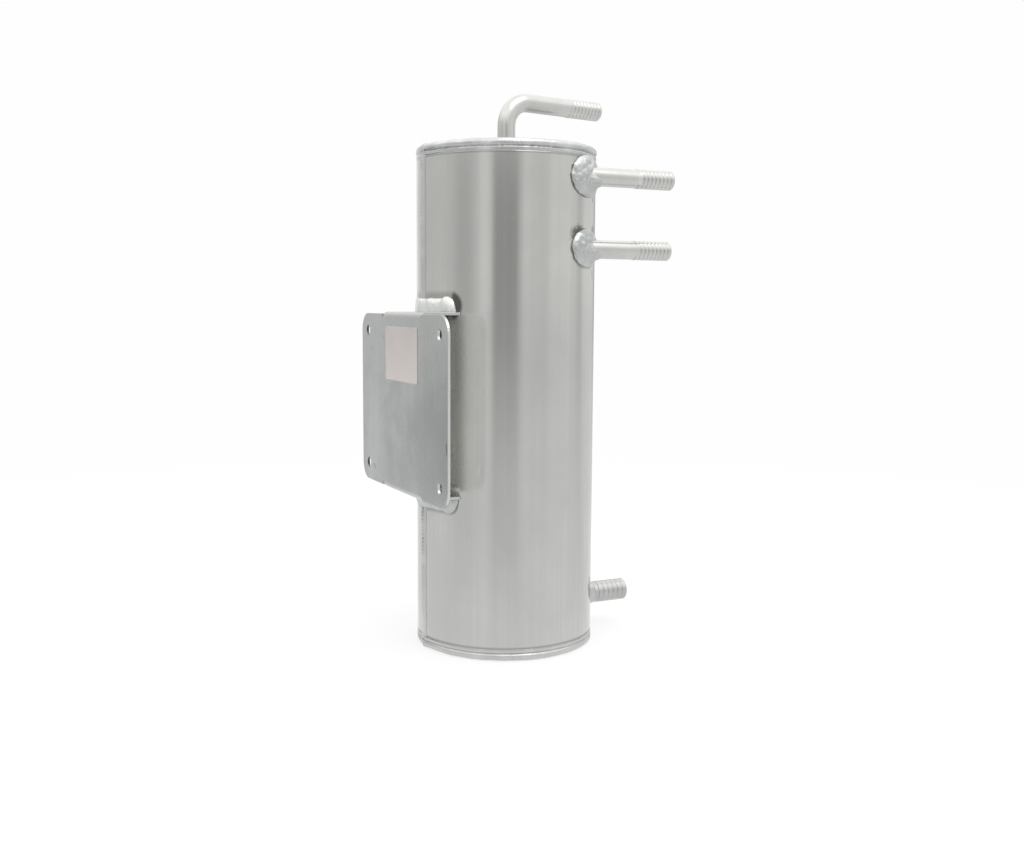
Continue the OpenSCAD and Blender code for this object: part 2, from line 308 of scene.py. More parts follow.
def meltedBead(name, node, bm, look, travel, seed, bore=None, nearRoot=nearNowhere):
    # travel gives how far along the bead a point lies and how far across, both in metres
    bm = shapedBy(draftObject(bm), "REMESH", mode="VOXEL", voxel_size=look["voxel"])
    relax(bm, look["melt"])
    bm.normal_update()
    outward = {v: v.normal.copy() for v in bm.verts}
    for v in bm.verts:
        along, across = travel(v.co)
        run = along / look["pitch"] + look["bow"] * (across / look["pitch"]) ** 2
        run += 0.5 * lumps(v.co, 5 * mm, seed)
        push = look["puff"] + look["rippleHeight"] * (scallop(run) - 0.6)
        push += look["lumpHeight"] * lumps(v.co, look["lumpSize"], seed + 3)
        push += look["pitHeight"] * max(0.0, lumps(v.co, look["pitSize"], seed + 5) - 0.25)
        push += look["crownHeight"] * nearRoot(v.co) * lumps(v.co, look["crownSize"], seed + 8)
        v.co += outward[v] * push
        if "shrinkFar" in look:
            # the bead gets thinner towards its +Y end
            away = math.hypot(v.co.x, v.co.y) - shellRadius
            turn = math.degrees(math.atan2(v.co.y, -v.co.x))
            keep = look["shrinkFar"] + (1 - look["shrinkFar"]) * clamp01((12 - turn) / 14)
            v.co -= outwardOf(v.co) * max(0.0, away) * (1 - keep)
    relax(bm, look["soften"])
    if bore:
        cutter = bmesh.new()
        taper(cutter, *bore)
        tool = draftObject(cutter)
        bm = shapedBy(draftObject(bm), "BOOLEAN", operation="DIFFERENCE", solver="MANIFOLD", object=tool)
        bpy.data.objects.remove(tool)
    piece = newPiece(name, bm, node)
    markToe(piece, lambda point: 0.5 * darkNearShell(point))
    return piece


def axisOf(node):
    # turns +Z onto the axis of a pipe that lies along X
    centre = middle(node)
    return Matrix.Translation((0, centre.y, centre.z)) @ Matrix.Rotation(math.radians(90), 4, "Y")


sideWeld = {
    "reach": 14.8 * mm, "rise": 4.0 * mm, "height": 11.3 * mm, "sink": 1.3 * mm,
    "collar": 5.2 * mm, "sag": 1.1 * mm, "neck": 37.2 * mm, "neckStart": 31.0 * mm,
    "dropOut": 28.4 * mm, "dropDown": 2.4 * mm, "dropSize": (5.2 * mm, 4.4 * mm, 4.4 * mm),
    "intoPipe": 0.75 * mm,         # how deep the bead reaches into the pipe's wall
    "voxel": 0.34 * mm, "melt": 12, "soften": 4, "puff": 0.25 * mm, "pitch": 2.6 * mm, "bow": 0.1,
    "rippleHeight": 0.12 * mm, "lumpSize": 5.5 * mm, "lumpHeight": 0.4 * mm,
    "pitSize": 2.2 * mm, "pitHeight": 0.6 * mm, "crownSize": 2.6 * mm, "crownHeight": 0.75 * mm,
}


def sideBead(name, weldNode, pipeNode, seed, size, lift):
    centre = middle(pipeNode)
    radius = (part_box(pipeNode)[1].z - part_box(pipeNode)[0].z) / 2
    angle = math.asin(centre.y / shellRadius)
    axis = axisOf(pipeNode)
    look = sideWeld
    bm = bmesh.new()
    blob(bm, onShell(angle, centre.z + lift, size * look["reach"], look["rise"], size * look["height"],
                     look["sink"]))
    foot = polar(angle, shellRadius, 0).x - 9 * mm
    lowered = Matrix.Translation((0, 0, -look["sag"])) @ axis
    taper(bm, lowered, foot, look["neckStart"], look["collar"], look["collar"])
    taper(bm, lowered, look["neckStart"] - 1 * mm, look["neck"], look["collar"], radius - look["sag"])
    # more metal sagging under the pipe than on top of it
    out, aside, down = look["dropSize"]
    blob(bm, lambda p: Vector((look["dropOut"] + out * p.x, centre.y + aside * p.y,
                               centre.z - look["dropDown"] + down * p.z)))

    def travel(point):
        return (math.atan2(point.z - centre.z, centre.y - point.y) * 8 * mm, point.x - 0.03)

    def nearRoot(point):
        # the lumpiest part is the ring of metal close round the pipe
        away = math.hypot(point.y - centre.y, point.z - centre.z)
        return clamp01(1.4 - abs(away - 6.8 * mm) / (2.6 * mm)) * clamp01((38 * mm - point.x) / (4 * mm))

    inner = radius - look["intoPipe"]
    bore = (axis, 0, 60 * mm, inner, inner)
    return meltedBead(name, weldNode, bm, look, travel, seed, bore, nearRoot)


outletWeld = dict(sideWeld, reach=10.4 * mm, rise=3.0 * mm, height=10.4 * mm, collar=8.0 * mm,
                  neckStart=51.5 * mm, neck=58 * mm, melt=8, intoPipe=0.8 * mm)


def outletBead():
    centre = middle("outlet_pipe")
    low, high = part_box("outlet_pipe")
    radius = (high.z - low.z) / 2
    axis = axisOf("outlet_pipe")
    look = outletWeld
    bm = bmesh.new()
    blob(bm, onShell(0, centre.z, look["reach"], look["rise"], look["height"], look["sink"]))
    taper(bm, axis, 49 * mm, look["neckStart"], look["collar"] + 1 * mm, look["collar"])
    taper(bm, axis, look["neckStart"] - 0.5 * mm, look["neck"], look["collar"], radius - 0.35 * mm)

    def travel(point):
        return (math.atan2(point.z - centre.z, point.y) * 9 * mm, point.x - shellRadius)

    inner = radius - look["intoPipe"]
    bore = (axis, 40 * mm, 80 * mm, inner, inner)
    return meltedBead("outletWeldBead", "outlet_pipe_weld", bm, look, travel, 14, bore)


ventWeld = dict(sideWeld, foot=9.4 * mm, rise=3.6 * mm, lumpHeight=0.4 * mm, rippleHeight=0.12 * mm, melt=7)


def ventBead():
    low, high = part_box("upper_side_pipe")
    radius = (high.z - low.z) / 2
    look = ventWeld
    bm = bmesh.new()
    blob(bm, lambda p: Vector((p.x * look["foot"], p.y * look["foot"],
                               bodyTop + p.z * (look["rise"] if p.z > 0 else 1.2 * mm))))
    taper(bm, Matrix(), bodyTop, bodyTop + 5 * mm, radius + 1.6 * mm, radius - 0.3 * mm)

    def travel(point):
        return (math.atan2(point.y, point.x) * 8 * mm, point.z - bodyTop)

    inner = radius - look["intoPipe"]
    bore = (Matrix(), bodyTop - 10 * mm, bodyTop + 20 * mm, inner, inner)
    return meltedBead("ventWeldBead", "vent_pipe_weld", bm, look, travel, 11, bore)


tabWeld = dict(sideWeld, reach=6.2 * mm, rise=3.1 * mm, height=7.5 * mm, melt=6, soften=4, puff=0.2 * mm,
               lumpHeight=0.28 * mm, rippleHeight=0.12 * mm, pitch=2.4 * mm, bow=0.3, sheet=0.7 * mm,
               shrinkFar=0.3)


def tabBead(name, node, seed, up, shortNear):
    # a fat roll between a tab and the shell, round at both ends and a little short of the near one
    low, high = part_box(node)
    look = tabWeld
    halfLength = shellRadius * math.asin((high.y - low.y) / 2 / shellRadius)
    straight = halfLength - look["reach"]
    root = low.z if up > 0 else high.z
    bm = bmesh.new()
    back, foot = -1.2 * mm, -look["sheet"]
    section = [(back, look["height"] * 0.96), (back, foot), (look["rise"], foot)]
    for turn in range(0, 91, 10):
        t = math.radians(turn)
        section.append((look["rise"] * math.cos(t), look["height"] * math.sin(t)))
    ring = [bm.verts.new((shellRadius + rise, 0, root + up * height)) for rise, height in section]
    loop = [bm.edges.new((a, b)) for a, b in zip(ring, ring[1:] + ring[:1])]
    bmesh.ops.rotate(bm, verts=ring, cent=(0, 0, 0),
                     matrix=Matrix.Rotation(math.pi - straight / shellRadius, 3, "Z"))
    bmesh.ops.contextual_create(bm, geom=loop)
    bmesh.ops.spin(bm, geom=ring + loop, cent=(0, 0, 0), axis=(0, 0, 1),
                   angle=(2 * straight - shortNear) / shellRadius, steps=48)
    bmesh.ops.holes_fill(bm, edges=bm.edges, sides=0)
    bmesh.ops.recalc_face_normals(bm, faces=bm.faces)
    for side in (-1, 1):
        angle = math.pi + (side * straight - shortNear * (side > 0)) / shellRadius
        crown = 1.14 if side > 0 else 1.04

        def place(p, angle=angle, crown=crown):
            along = p.x * look["reach"]
            off = p.y * (look["rise"] * 1.12 if p.y > 0 else look["sink"])
            lift = p.z * (look["height"] * crown if p.z > 0 else look["sheet"])
            return polar(angle + along / shellRadius, shellRadius + off, root + up * lift)
        before = len(bm.faces)
        blob(bm, place)
        bm.faces.ensure_lookup_table()
        bmesh.ops.recalc_face_normals(bm, faces=bm.faces[before:])

    def travel(point):
        return (math.atan2(point.y, -point.x) * shellRadius, point.z - root)

    return meltedBead(name, node, bm, look, travel, seed)


# bracket: the folded sheet with its sheared edges eased
bracket = {
    "ease": 0.2 * mm, "easeSegments": 2, "sheet": 1.5 * mm,
    "tabHalf": 30.2 * mm, "tabFrom": 44 * mm,              # from the plate's middle
    "slotAt": 30.5 * mm, "slotReach": 1.5 * mm,
    "holeAcross": 56 * mm, "holeUp": 39 * mm, "holeReach": 3.6 * mm,
}


def bracketSheet():
    bm = bmesh.new()
    bm.from_mesh(nodes["mounting_bracket"].data)
    bmesh.ops.remove_doubles(bm, verts=bm.verts, dist=0.002 * mm)
    bmesh.ops.dissolve_limit(bm, angle_limit=math.radians(1), verts=bm.verts, edges=bm.edges,
                             use_dissolve_boundaries=False)
    sharp = [e for e in bm.edges if len(e.link_faces) == 2 and e.calc_face_angle() > math.radians(50)]
    bmesh.ops.bevel(bm, geom=sharp, affect="EDGES", offset=bracket["ease"], offset_type="OFFSET",
                    segments=bracket["easeSegments"], profile=0.5, material=-1, clamp_overlap=True)
    bmesh.ops.triangulate(bm, faces=bm.faces)
    piece = newPiece("bracketSheet", bm, "mounting_bracket", smooth=False)
    cut = piece.data.attributes.new("cutEdge", "FLOAT", "FACE")
    inside = piece.data.attributes.new("inside", "FLOAT", "FACE")
    bore = piece.data.attributes.new("bore", "FLOAT", "FACE")
    for face in piece.data.polygons:
        across, up = abs(face.center.y), abs(face.center.z - plateMiddle.z)
        inPlate = face.center.x < plateLow.x + bracket["sheet"] + 0.02 * mm
        onTab = across < bracket["tabHalf"] and up > bracket["tabFrom"]
        edgeOn = 1 - abs(face.normal.x) if inPlate and not onTab else abs(face.normal.y)
        # painted shade in the holes: the far walls are darkened and keep none of the bright cut-edge colour,
        # the near ones keep half of it
        fromHole = math.hypot(across - bracket["holeAcross"], up - bracket["holeUp"])
        if fromHole < bracket["holeReach"]:
            bore.data[face.index].value = clamp01(edgeOn) * (0.1 if face.center.y < 0 else 1.0)
            edgeOn *= 0.5 if face.center.y < 0 else 0.0
        if abs(across - bracket["slotAt"]) < bracket["slotReach"] and up > bracket["tabFrom"]:
            edgeOn *= 0.2
        cut.data[face.index].value = clamp01(edgeOn * 2 - 0.4)
        # faces turned towards the shell are marked for a lighter colour: painted light bouncing into the gap
        inside.data[face.index].value = clamp01(face.normal.x)
    return piece


label = {"corner": 1.0 * mm, "lift": 0.06 * mm, "cells": 48}


def paperLabel():
    # a thin sheet with rounded corners whose edges lift a little here and there
    low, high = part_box("blank_label")
    centre = (low + high) / 2
    wide, tall = high.y - low.y, high.z - low.z
    bm = bmesh.new()
    bmesh.ops.create_grid(bm, x_segments=label["cells"], y_segments=label["cells"], size=0.5)
    for v in bm.verts:
        y, z = v.co.x * wide, v.co.y * tall
        overY = max(0.0, abs(y) - (wide / 2 - label["corner"]))
        overZ = max(0.0, abs(z) - (tall / 2 - label["corner"]))
        reach = math.hypot(overY, overZ)
        if reach > label["corner"]:
            y -= math.copysign(overY * (1 - label["corner"] / reach), y)
            z -= math.copysign(overZ * (1 - label["corner"] / reach), z)
        rim = max(abs(v.co.x), abs(v.co.y)) * 2
        v.co = Vector((low.x, centre.y + y, centre.z + z))
        v.co.x += label["lift"] * (1 - clamp01(0.3 + lumps(v.co, 12 * mm, 3) + rim ** 8))
    outer = list(bm.faces)
    bmesh.ops.recalc_face_normals(bm, faces=outer)
    if sum(face.normal.x for face in outer) > 0:
        bmesh.ops.reverse_faces(bm, faces=outer)
    backed = bmesh.ops.extrude_face_region(bm, geom=outer, use_keep_orig=True)
    for v in [g for g in backed["geom"] if isinstance(g, bmesh.types.BMVert)]:
        v.co.x = high.x
    return newPiece("paperLabel", bm, "blank_label")


print("building the weld beads")
topRimBead = rimBead("topRimBead", "top_rim_weld", True, 2.0 * mm, 0.09 * mm)
bottomRimBead = rimBead("bottomRimBead", "bottom_rim_weld", False, 1.9 * mm, 0.16 * mm)
seamPiece = seamBead()
weldBeads = [
    ventBead(),
    sideBead("upperSideWeldBead", "upper_side_pipe_weld", "upper_side_pipe", 12, 1.0, 0.0),
    sideBead("lowerSideWeldBead", "lower_side_pipe_weld", "lower_side_pipe", 23, 0.92, 0.6 * mm),
    outletBead(),
    tabBead("bracketBottomBead", "bracket_bottom_weld", 16, -1, 0.2 * mm),
    tabBead("bracketTopBead", "bracket_top_weld", 15, 1, 1.4 * mm),
]
print("building the bracket and its label")
bracketPiece = bracketSheet()
labelPiece = paperLabel()


# material helpers
def newMaterial(name):
    material = bpy.data.materials.new(name)
    material.use_nodes = True
    material.node_tree.nodes.clear()
    return material, material.node_tree


def addNode(tree, kind, **values):
    node = tree.nodes.new(kind)
    for key, value in values.items():
        setattr(node, key, value)
    return node


def setInputs(node, **values):
    for key, value in values.items():
        node.inputs[key.replace("_", " ")].default_value = value
    return node


def newGroup(name, inputs, outputs):
    group = bpy.data.node_groups.new(name, "ShaderNodeTree")
    for socketName, kind, value in inputs:
        socket = group.interface.new_socket(socketName, in_out="INPUT", socket_type=kind)
        if value is not None:
            socket.default_value = value
    for socketName in outputs:
        group.interface.new_socket(socketName, in_out="OUTPUT", socket_type="NodeSocketFloat")
    return group, addNode(group, "NodeGroupInput"), addNode(group, "NodeGroupOutput")


def useGroup(tree, group, vector, **values):
    node = addNode(tree, "ShaderNodeGroup", node_tree=group)
    tree.links.new(vector, node.inputs["Vector"])
    return setInputs(node, **values)


def plug(tree, socket, value):
    if isinstance(value, (int, float)):
        socket.default_value = value
    elif isinstance(value, tuple):
        socket.default_value = (*value, 1) if len(value) == 3 and len(socket.default_value) == 4 else value
    else:
        tree.links.new(value, socket)


def calc(tree, operation, *values, clamp=False):
    node = addNode(tree, "ShaderNodeMath", operation=operation, use_clamp=clamp)
    for socket, value in zip(node.inputs, values):
        plug(tree, socket, value)
    return node.outputs[0]


def vectorCalc(tree, operation, *values):
    node = addNode(tree, "ShaderNodeVectorMath", operation=operation)
    for socket, value in zip(node.inputs, values):
        plug(tree, socket, value)
    return node.outputs["Value"] if operation == "LENGTH" else node.outputs[0]


def spread(tree, value, low, high, toLow=0.0, toHigh=1.0, smooth=False):
    node = addNode(tree, "ShaderNodeMapRange", interpolation_type="SMOOTHSTEP" if smooth else "LINEAR")
    ends = {"Value": value, "From Min": low, "From Max": high, "To Min": toLow, "To Max": toHigh}
    for name, item in ends.items():
        plug(tree, node.inputs[name], item)
    return node.outputs["Result"]


def mixColour(tree, mask, a, b, blend="MIX"):
    node = addNode(tree, "ShaderNodeMix", data_type="RGBA", blend_type=blend)
    for index, value in ((0, mask), (6, a), (7, b)):
        plug(tree, node.inputs[index], value)
    return node.outputs[2]


def tint(tree, mask, strength, tone, colour):
    return mixColour(tree, calc(tree, "MULTIPLY", mask, strength), tone, colour)


def noiseMask(tree, vector, scale, detail=2.0, rough=0.5, distortion=0.0):
    node = addNode(tree, "ShaderNodeTexNoise")
    plug(tree, node.inputs["Vector"], vector)
    plug(tree, node.inputs["Scale"], scale)
    setInputs(node, Detail=detail, Roughness=rough, Distortion=distortion)
    return node.outputs["Fac"]


# effects that several finishes share
def makeGrainGroup():
    # fine lines left by drawing or rolling, along the axis that Stretch squeezes
    group, source, result = newGroup(
        "drawnGrain",
        [("Vector", "NodeSocketVector", None), ("Stretch", "NodeSocketVector", (1, 1, 0.01)),
         ("Lines", "NodeSocketFloat", 2500.0)],
        ["Fine", "Broad"])
    scaled = vectorCalc(group, "MULTIPLY", source.outputs["Vector"], source.outputs["Stretch"])
    for output, share in (("Fine", 1.0), ("Broad", 0.14)):
        lines = calc(group, "MULTIPLY", source.outputs["Lines"], share)
        group.links.new(noiseMask(group, scaled, lines, 3.0, 0.6), result.inputs[output])
    return group


def makeSmudgeGroup():
    # cloudy handling marks and a few darker stains
    group, source, result = newGroup(
        "handlingMarks",
        [("Vector", "NodeSocketVector", None), ("Size", "NodeSocketFloat", 30.0)],
        ["Cloud", "Stain"])
    cloud = noiseMask(group, source.outputs["Vector"], source.outputs["Size"], 5.0, 0.55, 0.4)
    group.links.new(cloud, result.inputs["Cloud"])
    spots = noiseMask(group, source.outputs["Vector"], calc(group, "MULTIPLY", source.outputs["Size"], 3.1),
                      4.0, 0.6, 1.2)
    group.links.new(spread(group, spots, 0.66, 0.78, smooth=True), result.inputs["Stain"])
    return group


def makeScratchGroup():
    # thin short scratches at a few slants
    group, source, result = newGroup(
        "thinScratches",
        [("Vector", "NodeSocketVector", None), ("Scale", "NodeSocketFloat", 120.0),
         ("Threshold", "NodeSocketFloat", 0.74)],
        ["Mask"])
    total = 0.0
    for slant, squeeze in ((0.35, 0.05), (-0.8, 0.04), (1.3, 0.06)):
        turned = addNode(group, "ShaderNodeMapping")
        group.links.new(source.outputs["Vector"], turned.inputs["Vector"])
        setInputs(turned, Rotation=(slant, slant * 0.7, slant), Scale=(1, 1, squeeze),
                  Location=(slant, 0, 0))
        lines = noiseMask(group, turned.outputs[0], source.outputs["Scale"], 1.0, 0.4)
        over = calc(group, "SUBTRACT", lines, source.outputs["Threshold"])
        total = calc(group, "MAXIMUM", total, calc(group, "MULTIPLY", over, 30.0, clamp=True))
    group.links.new(total, result.inputs["Mask"])
    return group


def makeHaloGroup():
    # a dark ring on the shell round a bead, partly the dull oxide that welding leaves and partly painted
    # contact shade, and its part past the bead's ends, which is painted shade
    group, source, result = newGroup(
        "weldHaloAndShade",
        [("Vector", "NodeSocketVector", None), ("Angle", "NodeSocketFloat", 0.0),
         ("Height", "NodeSocketFloat", 0.0), ("Straight", "NodeSocketFloat", 0.0),
         ("Round", "NodeSocketFloat", 0.01), ("Width", "NodeSocketFloat", 0.002)],
        ["Ring", "Ends"])
    split = addNode(group, "ShaderNodeSeparateXYZ")
    group.links.new(source.outputs["Vector"], split.inputs[0])
    x, y, z = split.outputs
    # turn the point so that the bead's middle lies on +X, then unroll it
    cosA = calc(group, "COSINE", source.outputs["Angle"])
    sinA = calc(group, "SINE", source.outputs["Angle"])
    towards = calc(group, "ADD", calc(group, "MULTIPLY", x, cosA), calc(group, "MULTIPLY", y, sinA))
    aside = calc(group, "SUBTRACT", calc(group, "MULTIPLY", y, cosA), calc(group, "MULTIPLY", x, sinA))
    along = calc(group, "MULTIPLY", calc(group, "ARCTAN2", aside, towards), shellRadius)
    past = calc(group, "MAXIMUM", calc(group, "SUBTRACT", calc(group, "ABSOLUTE", along),
                                       source.outputs["Straight"]), 0.0)
    up = calc(group, "SUBTRACT", z, source.outputs["Height"])
    squares = calc(group, "ADD", calc(group, "MULTIPLY", past, past), calc(group, "MULTIPLY", up, up))
    away = calc(group, "SQRT", squares)
    clear = calc(group, "SUBTRACT", away, source.outputs["Round"])
    ring = spread(group, clear, 0.0, source.outputs["Width"], 1.0, 0.0, smooth=True)
    group.links.new(ring, result.inputs["Ring"])
    pastEnd = spread(group, past, 0.5 * mm, 3 * mm)
    group.links.new(calc(group, "MULTIPLY", ring, pastEnd), result.inputs["Ends"])
    return group


def makeMarkGroup():
    # one long soft mark: a nick, a scratch or a stain at its own place
    group, source, result = newGroup(
        "singleMark",
        [("Vector", "NodeSocketVector", None), ("Place", "NodeSocketVector", (0, 0, 0)),
         ("Turn", "NodeSocketVector", (0, 0, 0)), ("Size", "NodeSocketVector", (1, 1, 1))],
        ["Mask"])
    moved = vectorCalc(group, "SUBTRACT", source.outputs["Vector"], source.outputs["Place"])
    turned = addNode(group, "ShaderNodeVectorRotate", rotation_type="EULER_XYZ")
    group.links.new(moved, turned.inputs["Vector"])
    group.links.new(source.outputs["Turn"], turned.inputs["Rotation"])
    wobble = noiseMask(group, source.outputs["Vector"], 900.0, 3.0)
    shrunk = vectorCalc(group, "DIVIDE", turned.outputs[0], source.outputs["Size"])
    length = vectorCalc(group, "LENGTH", shrunk)
    ragged = calc(group, "ADD", length, wobble)
    group.links.new(spread(group, ragged, 1.7, 1.0, smooth=True), result.inputs["Mask"])
    return group


grainGroup = makeGrainGroup()
smudgeGroup = makeSmudgeGroup()
scratchGroup = makeScratchGroup()
haloGroup = makeHaloGroup()
markGroup = makeMarkGroup()


def finishMetal(name, look, extraTone=None):
    # a metal finish from grain, clouds, stains and scratches; extraTone may recolour it before the shader
    material, tree = newMaterial(name)
    coords = addNode(tree, "ShaderNodeTexCoord").outputs["Object"]
    grain = useGroup(tree, grainGroup, coords, Stretch=look["stretch"], Lines=look["lines"])
    smudge = useGroup(tree, smudgeGroup, coords, Size=look["cloudSize"])
    scratch = useGroup(tree, scratchGroup, coords, Scale=look["scratchScale"],
                       Threshold=look["scratchLimit"])
    cloud = spread(tree, smudge.outputs["Cloud"], 0.3, 0.7)
    tone = mixColour(tree, cloud, look["dark"], look["colour"])
    streak = spread(tree, grain.outputs["Broad"], 0.35, 0.65)
    tone = tint(tree, streak, look["grainTone"], tone, look["dark"])
    tone = tint(tree, smudge.outputs["Stain"], look["stainTone"], tone, look["stain"])
    tone = tint(tree, scratch.outputs["Mask"], look["scratchTone"], tone, look["scratch"])
    if extraTone:
        tone = extraTone(tree, coords, tone)
    dullest, shiniest = look["rough"] + look["roughVary"], look["rough"] - look["roughVary"]
    cloudRough = spread(tree, cloud, 0.0, 1.0, dullest, shiniest)
    centred = calc(tree, "SUBTRACT", grain.outputs["Fine"], 0.5)
    grainRough = calc(tree, "MULTIPLY", centred, look["roughGrain"])
    rough = calc(tree, "ADD", cloudRough, grainRough)
    height = calc(tree, "MULTIPLY", grain.outputs["Fine"], look["grainDepth"])
    cut = calc(tree, "MULTIPLY", scratch.outputs["Mask"], -look["scratchDepth"])
    height = calc(tree, "ADD", height, cut)
    height = calc(tree, "ADD", height, calc(tree, "MULTIPLY", smudge.outputs["Cloud"], look["waveDepth"]))
    bump = addNode(tree, "ShaderNodeBump")
    setInputs(bump, Strength=1.0, Distance=1.0)
    tree.links.new(height, bump.inputs["Height"])
    shader = addNode(tree, "ShaderNodeBsdfPrincipled")
    setInputs(shader, Metallic=1.0)
    tree.links.new(tone, shader.inputs["Base Color"])
    tree.links.new(rough, shader.inputs["Roughness"])
    tree.links.new(bump.outputs["Normal"], shader.inputs["Normal"])
    output = addNode(tree, "ShaderNodeOutputMaterial")
    tree.links.new(shader.outputs[0], output.inputs["Surface"])
    return material


def dress(obj, material):
    obj.data.materials.clear()
    obj.data.materials.append(material)


shellLook = {
    "colour": (0.6, 0.605, 0.58), "dark": (0.515, 0.52, 0.505), "stain": (0.44, 0.44, 0.41),
    "scratch": (0.75, 0.75, 0.73), "rough": 0.15, "roughVary": 0.025, "roughGrain": 0.1,
    "stretch": (1, 1, 0.006), "lines": 2600.0, "grainTone": 0.45, "grainDepth": 2e-6, "waveDepth": 0.0,
    "cloudSize": 16.0, "stainTone": 0.05,
    "scratchTone": 0.35, "scratchScale": 260.0, "scratchLimit": 0.8, "scratchDepth": 8e-6,
}
shellShadeAndMarks = {
    "tint": (0.13, 0.13, 0.12),
    "strength": 0.4,
    # bead node: angle round the shell, half length, half height, ring width, how strong past its ends
    "beads": [
        ("upper_side_pipe_weld", -54.7, 14.4 * mm, 10.9 * mm, 0.9 * mm, 0.0),
        ("lower_side_pipe_weld", -54.7, 13.4 * mm, 10.2 * mm, 0.9 * mm, 0.0),
        ("outlet_pipe_weld", 0.0, 10.4 * mm, 10.2 * mm, 1.6 * mm, 0.0),
        ("bracket_top_weld", 180.0, 30.6 * mm, 5.4 * mm, 3.6 * mm, 1.0),
        ("bracket_bottom_weld", 180.0, 29.0 * mm, 4.2 * mm, 2.4 * mm, 0.3),
    ],
    # painted shade beside the side beads: angle, height, half width, half height, strength
    "shadePatches": [(-63.5, 0.2292, 7.4 * mm, 5.6 * mm, 0.95), (-42.5, 0.233, 3.2 * mm, 2.4 * mm, 0.7),
             (-43.0, 0.209, 1.2 * mm, 2.4 * mm, 0.5), (-44.0, 0.2492, 1.2 * mm, 1.8 * mm, 0.7)],
    # width and strength of the painted shade along the rim joints
    "joint": 1.0 * mm,
    "jointStrength": 0.5,
    "scratchPlace": polar(math.radians(249), shellRadius, 0.2365),
    "scratchSize": (2.6 * mm, 1.0 * mm, 0.22 * mm),
    "scratchTone": (0.8, 0.8, 0.78),
}


def shellTone(tree, coords, tone):
    look = shellShadeAndMarks
    # each bead's ring is oxide and painted contact shade; past the top tab bead's ends it is painted shade
    # of the crevice there
    for node, degrees, halfLength, halfHeight, width, ends in look["beads"]:
        halo = useGroup(tree, haloGroup, coords, Angle=math.radians(degrees), Height=middle(node).z,
                        Straight=halfLength - halfHeight, Round=halfHeight, Width=width)
        mask = calc(tree, "ADD", calc(tree, "MULTIPLY", halo.outputs["Ring"], look["strength"]),
                    calc(tree, "MULTIPLY", halo.outputs["Ends"], ends), clamp=True)
        tone = mixColour(tree, mask, tone, look["tint"])
    # painted shade: dark patches on the shell beside the side beads
    for degrees, height, wide, tall, strength in look["shadePatches"]:
        mark = useGroup(tree, markGroup, coords, Place=polar(math.radians(degrees), shellRadius, height),
                        Size=(wide, wide, tall))
        tone = tint(tree, mark.outputs["Mask"], strength, tone, look["tint"])
    # painted shade along the joint where the rim beads meet the shell
    split = addNode(tree, "ShaderNodeSeparateXYZ")
    tree.links.new(coords, split.inputs[0])
    fromMiddle = calc(tree, "ABSOLUTE", calc(tree, "SUBTRACT", split.outputs["Z"], bodyTop / 2))
    edge = bodyTop / 2 - rimHeight
    joint = spread(tree, fromMiddle, edge - look["joint"], edge - 0.1 * mm, 0.0, look["jointStrength"])
    tone = mixColour(tree, joint, tone, look["tint"])
    scratch = useGroup(tree, markGroup, coords, Place=look["scratchPlace"], Turn=(0.2, 0.45, 0),
                       Size=look["scratchSize"])
    return tint(tree, scratch.outputs["Mask"], 0.5, tone, look["scratchTone"])


plateLook = dict(shellLook, stretch=(0.01, 1, 1), rough=0.26, grainTone=0.4)
pipeLook = {
    "colour": (0.62, 0.625, 0.605), "dark": (0.55, 0.555, 0.535), "stain": (0.4, 0.4, 0.38),
    "scratch": (0.76, 0.76, 0.74), "rough": 0.23, "roughVary": 0.04, "roughGrain": 0.04,
    "stretch": (0.02, 1, 1), "lines": 2400.0, "grainTone": 0.4, "grainDepth": 2e-6, "waveDepth": 2e-5,
    "cloudSize": 90.0, "stainTone": 0.2,
    "scratchTone": 0.4, "scratchScale": 420.0, "scratchLimit": 0.76, "scratchDepth": 2e-5,
}
weldLook = {
    "colour": (0.6, 0.617, 0.607), "dark": (0.46, 0.48, 0.473), "stain": (0.28, 0.28, 0.27),
    "scratch": (0.9, 0.9, 0.9), "rough": 0.33, "roughVary": 0.06, "roughGrain": 0.06, "stretch": (1, 1, 1),
    "lines": 1400.0, "grainTone": 0.45, "grainDepth": 1.5e-5, "waveDepth": 0.0,
    "cloudSize": 110.0, "stainTone": 0.45,
    "scratchTone": 0.0, "scratchScale": 300.0, "scratchLimit": 0.9, "scratchDepth": 0.0,
    # colour and strength of the painted shade along the bead's toe
    "toe": (0.13, 0.13, 0.125), "toeStrength": 0.8,
}
bracketLook = {
    "colour": (0.56, 0.578, 0.567), "dark": (0.48, 0.498, 0.487), "stain": (0.3, 0.31, 0.3),
    "scratch": (0.66, 0.67, 0.67), "rough": 0.27, "roughVary": 0.05, "roughGrain": 0.05,
    "stretch": (1, 1, 0.04), "lines": 1100.0, "grainTone": 0.5, "grainDepth": 1.5e-6, "waveDepth": 3e-5,
    "cloudSize": 34.0, "stainTone": 0.3,
    "scratchTone": 0.4, "scratchScale": 300.0, "scratchLimit": 0.77, "scratchDepth": 2e-5,
    "cutEdge": (0.64, 0.65, 0.64), "inside": (0.86, 0.86, 0.84), "markAndShadeTint": (0.2, 0.2, 0.19),
}


def attributeValue(tree, name):
    return addNode(tree, "ShaderNodeAttribute", attribute_name=name).outputs["Fac"]


def weldTone(tree, coords, tone):
    # painted shade: the bead darkens along its toe line, broken up by noise
    toe = attributeValue(tree, "toe")
    breaks = spread(tree, noiseMask(tree, coords, 500.0, 2.0), 0.3, 0.6, 0.6, 1.1)
    ragged = calc(tree, "MULTIPLY", toe, breaks, clamp=True)
    return tint(tree, ragged, weldLook["toeStrength"], tone, weldLook["toe"])


